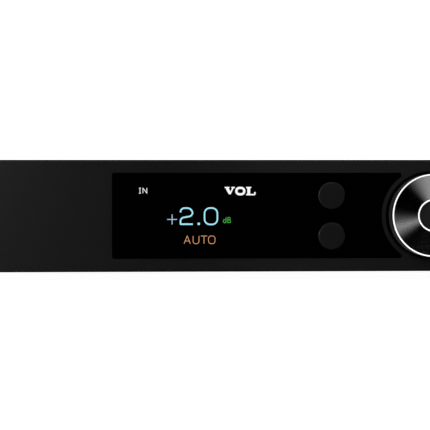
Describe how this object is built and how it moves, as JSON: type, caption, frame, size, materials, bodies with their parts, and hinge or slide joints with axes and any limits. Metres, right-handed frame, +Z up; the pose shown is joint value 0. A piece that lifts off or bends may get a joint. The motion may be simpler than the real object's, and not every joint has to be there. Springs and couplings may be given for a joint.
{
  "type": "desktop dac",
  "caption": "Flat half-width digital-to-analogue converter with a dark display window, round push buttons, a volume knob, rear sockets and a folding antenna.",
  "frame": {"origin": "on the surface the feet stand on, below the middle of the bounding box", "axes": "+X to the right seen from the front, +Y to the back, +Z up; the front panel faces -Y"},
  "size_m": [0.21, 0.22, 0.043],
  "materials": {
    "panel_black": "sandblasted, black anodised",
    "case_black": "fine-textured matte black",
    "window_black": "polished dark window",
    "knob_black": "spun face, bright cut edges, black anodised",
    "knob_centre": "matte",
    "steel": "turned",
    "screw_black": "black zinc",
    "shell_nickel": "satin nickel",
    "contact_gold": "gold plated",
    "plug_black": "moulded",
    "button_black": "satin, painted",
    "board_black": "solder mask",
    "chip_black": "moulded epoxy",
    "can_sleeve": "shrink sleeve",
    "relay_white": "moulded",
    "core_steel": "laminated, varnished",
    "sink_black": "anodised",
    "wire_black": "insulation",
    "ribbon_grey": "ribbon insulation",
    "display_black": "display glass",
    "foot_black": "moulded",
    "antenna_black": "moulded"
  },
  "bodies": {
    "chassis": {"front_panel": "panel_black", "display_window": "window_black", "base_tray": "case_black", "top_cover": "case_black", "rear_panel": "case_black", "encoder_body": "shell_nickel", "encoder_nut": "steel", "tact_switches": "chip_black", "display_module": "display_black", "infrared_receiver": "chip_black", "control_board": "board_black", "main_board": "board_black", "power_board": "board_black", "board_standoffs": "steel", "converter_chips": "chip_black", "filter_capacitors": "can_sleeve", "output_relays": "relay_white", "bluetooth_module": "shell_nickel", "mains_transformer": "core_steel", "bulk_capacitor": "can_sleeve", "heat_sink": "sink_black", "board_connectors": "relay_white", "ribbon_cable": "ribbon_grey", "mains_wires": "wire_black", "antenna_lead": "wire_black", "left_xlr_shell": "shell_nickel", "left_xlr_insert": "plug_black", "right_xlr_shell": "shell_nickel", "right_xlr_insert": "plug_black", "line_jack_housing": "plug_black", "left_line_jack": "contact_gold", "right_line_jack": "contact_gold", "coax_jack_housing": "plug_black", "coax_jack": "contact_gold", "optical_socket": "plug_black", "usb_shell": "shell_nickel", "usb_insert": "plug_black", "inlet_housing": "plug_black", "inlet_blades": "shell_nickel", "switch_housing": "plug_black", "antenna_socket": "contact_gold", "pan_head_screws": "screw_black", "cover_screws": "screw_black", "foot_front_left": "foot_black", "foot_front_right": "foot_black", "foot_rear_left": "foot_black", "foot_rear_right": "foot_black"},
    "knob_carriage": {"encoder_plunger": "steel"},
    "knob": {"volume_knob": "knob_black", "knob_cap": "knob_centre", "knob_set_screw": "screw_black", "encoder_shaft": "steel"},
    "upper_button": {"upper_button": "button_black"},
    "lower_button": {"lower_button": "button_black"},
    "power_rocker": {"power_rocker": "plug_black"},
    "optical_flap": {"optical_flap": "plug_black"},
    "antenna_swivel": {"antenna_base": "antenna_black", "antenna_pin": "steel"},
    "antenna_stub": {"antenna_stub": "antenna_black"}
  },
  "joints": [
    {"name": "knob_press", "type": "slide", "parent": "chassis", "child": "knob_carriage", "axis": [0, 1, 0], "range_m": [0, 0.0005], "stiffness_N_per_m": 1200, "springref_m": -0.0012},
    {"name": "knob_turn", "type": "hinge", "parent": "knob_carriage", "child": "knob", "pos_m": [0.07715, -0.102, 0.023], "axis": [0, 1, 0], "continuous": true},
    {"name": "upper_button_press", "type": "slide", "parent": "chassis", "child": "upper_button", "axis": [0, 1, 0], "range_m": [0, 0.0005], "stiffness_N_per_m": 800, "springref_m": -0.0012},
    {"name": "lower_button_press", "type": "slide", "parent": "chassis", "child": "lower_button", "axis": [0, 1, 0], "range_m": [0, 0.0005], "stiffness_N_per_m": 800, "springref_m": -0.0012},
    {"name": "power_rock", "type": "hinge", "parent": "chassis", "child": "power_rocker", "pos_m": [0.087, 0.089, 0.023], "axis": [1, 0, 0], "range_deg": [-18, 0]},
    {"name": "flap_swing", "type": "hinge", "parent": "chassis", "child": "optical_flap", "pos_m": [0.016, 0.08925, 0.0202], "axis": [-1, 0, 0], "range_deg": [0, 85], "stiffness_Nm_per_rad": 0.0002, "springref_deg": -17.19},
    {"name": "antenna_turn", "type": "hinge", "parent": "chassis", "child": "antenna_swivel", "pos_m": [-0.015, 0.1055, 0.033], "axis": [0, -1, 0], "range_deg": [0, 180]},
    {"name": "antenna_fold", "type": "hinge", "parent": "antenna_swivel", "child": "antenna_stub", "pos_m": [-0.015, 0.1055, 0.033], "axis": [0, 0, 1], "range_deg": [0, 90]}
  ]
}
